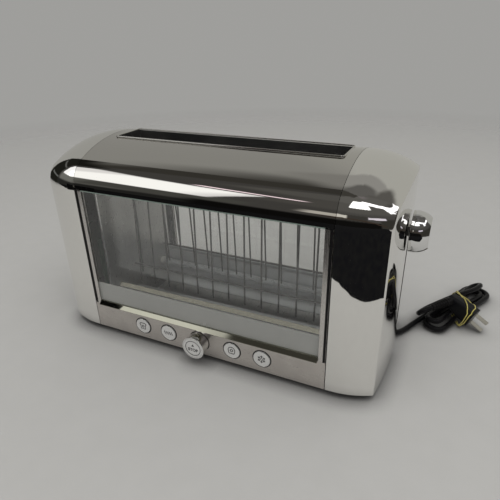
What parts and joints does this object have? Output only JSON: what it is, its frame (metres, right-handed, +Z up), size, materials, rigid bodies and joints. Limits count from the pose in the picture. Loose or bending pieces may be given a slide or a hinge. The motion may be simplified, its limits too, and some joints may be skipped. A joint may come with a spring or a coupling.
{
  "type": "toaster",
  "caption": "Long-slot toaster with polished end covers, glass sides, a side lever that lowers the bread, push buttons, a browning knob that stops when pushed, a crumb tray and a corded plug",
  "frame": {"origin": "under the middle of the toaster's overall size at the base plane of its feet, cord left out", "axes": "+X towards the lever end, along the bread slot; +Y towards the rear; +Z up"},
  "size_m": [0.4964, 0.2934, 0.231],
  "materials": {
    "polished_steel": "mirror-polished stainless steel",
    "brushed_panel": "brushed stainless steel, fine horizontal grain",
    "satin_button": "satin metal discs",
    "knob_chrome": "polished chrome",
    "outer_glass": "clear toughened glass, faint grey-green tint",
    "inner_glass": "clear heat-resistant glass",
    "trim_steel": "satin steel trim",
    "liner_dark": "dark satin coating",
    "plated_steel": "bright plated sheet and wire",
    "reflector": "bright rolled sheet",
    "quartz": "clear quartz tube",
    "heater_wire": "oxidised resistance wire",
    "ceramic": "unglazed white ceramic",
    "black_plastic": "black moulded plastic",
    "board_green": "green circuit board",
    "pale_plastic": "pale moulded plastic",
    "foot_rubber": "matt black rubber",
    "cord_black": "black flexible cord and moulding",
    "blade_brass": "nickel-plated brass",
    "band_beige": "beige elastic strand"
  },
  "bodies": {
    "toaster": {"base_pan": "black_plastic", "base_screws": "plated_steel", "button_switches": "black_plastic", "control_board": "board_green", "control_housing": "black_plastic", "cord": "cord_black", "cord_gland": "cord_black", "cord_hank": "cord_black", "feet": "foot_rubber", "front_glass_rail": "trim_steel", "front_outer_glass": "outer_glass", "front_panel": "brushed_panel", "guide_rods": "plated_steel", "hank_band": "band_beige", "heater_coils": "heater_wire", "heater_holders": "ceramic", "heater_tubes": "quartz", "hold_magnet": "black_plastic", "inner_glass_rails": "plated_steel", "inner_glasses": "inner_glass", "knob_encoder": "black_plastic", "left_end_cover": "polished_steel", "left_end_plate": "plated_steel", "lift_spring": "plated_steel", "lower_reflectors": "reflector", "lower_rod_brackets": "plated_steel", "plug_blades": "blade_brass", "plug_body": "cord_black", "plug_relief": "cord_black", "power_board": "board_green", "power_relay": "black_plastic", "rear_glass_rail": "trim_steel", "rear_outer_glass": "outer_glass", "rear_panel": "brushed_panel", "right_end_cover": "polished_steel", "right_end_plate": "plated_steel", "side_trims": "trim_steel", "slot_liner": "liner_dark", "terminal_block": "pale_plastic", "top_shell": "polished_steel", "upper_reflectors": "reflector", "upper_rod_brackets": "plated_steel"},
    "carriage": {"bread_carriage": "plated_steel", "right_slider": "black_plastic", "left_slider": "black_plastic", "keeper_plate": "plated_steel", "lever_arm": "plated_steel", "lever_knob": "knob_chrome"},
    "front_rack": {"front_guide_rack": "plated_steel"},
    "rear_rack": {"rear_guide_rack": "plated_steel"},
    "slice_push": {"slice_button": "satin_button"},
    "reheat_push": {"reheat_button": "satin_button"},
    "bagel_push": {"bagel_button": "satin_button"},
    "frozen_push": {"frozen_button": "satin_button"},
    "stop_push": {"knob_shaft": "plated_steel"},
    "dial": {"browning_knob": "knob_chrome", "knob_face": "satin_button"},
    "tray": {"crumb_tray": "plated_steel", "tray_front": "brushed_panel"}
  },
  "joints": [
    {"name": "carriage_slide", "type": "slide", "parent": "toaster", "child": "carriage", "axis": [0, 0, -1], "range_m": [0, 0.106], "stiffness_N_per_m": 75, "springref_m": -0.08, "deforming": ["lift_spring"]},
    {"name": "front_rack_swing", "type": "hinge", "parent": "toaster", "child": "front_rack", "pos_m": [-0.0097, -0.0185, 0.207], "axis": [1, 0, 0], "range_deg": [0, 7.05]},
    {"name": "rear_rack_swing", "type": "hinge", "parent": "toaster", "child": "rear_rack", "pos_m": [-0.0097, 0.0325, 0.207], "axis": [-1, 0, 0], "range_deg": [0, 7.05]},
    {"name": "slice_press", "type": "slide", "parent": "toaster", "child": "slice_push", "axis": [0, 1, 0], "range_m": [0, 0.001], "stiffness_N_per_m": 400, "springref_m": -0.0015},
    {"name": "reheat_press", "type": "slide", "parent": "toaster", "child": "reheat_push", "axis": [0, 1, 0], "range_m": [0, 0.001], "stiffness_N_per_m": 400, "springref_m": -0.0015},
    {"name": "bagel_press", "type": "slide", "parent": "toaster", "child": "bagel_push", "axis": [0, 1, 0], "range_m": [0, 0.001], "stiffness_N_per_m": 400, "springref_m": -0.0015},
    {"name": "frozen_press", "type": "slide", "parent": "toaster", "child": "frozen_push", "axis": [0, 1, 0], "range_m": [0, 0.001], "stiffness_N_per_m": 400, "springref_m": -0.0015},
    {"name": "stop_press", "type": "slide", "parent": "toaster", "child": "stop_push", "axis": [0, 1, 0], "range_m": [0, 0.0018], "stiffness_N_per_m": 500, "springref_m": -0.0015},
    {"name": "browning_turn", "type": "hinge", "parent": "stop_push", "child": "dial", "pos_m": [-0.0097, -0.088, 0.0242], "axis": [0, -1, 0], "range_deg": [-135, 135]},
    {"name": "tray_slide", "type": "slide", "parent": "toaster", "child": "tray", "axis": [0, 1, 0], "range_m": [0, 0.15]}
  ],
  "couplings": [
    {"joint": "front_rack_swing", "follows": "carriage_slide", "rad_per_m": 1.1526},
    {"joint": "rear_rack_swing", "follows": "carriage_slide", "rad_per_m": 1.1526}
  ]
}
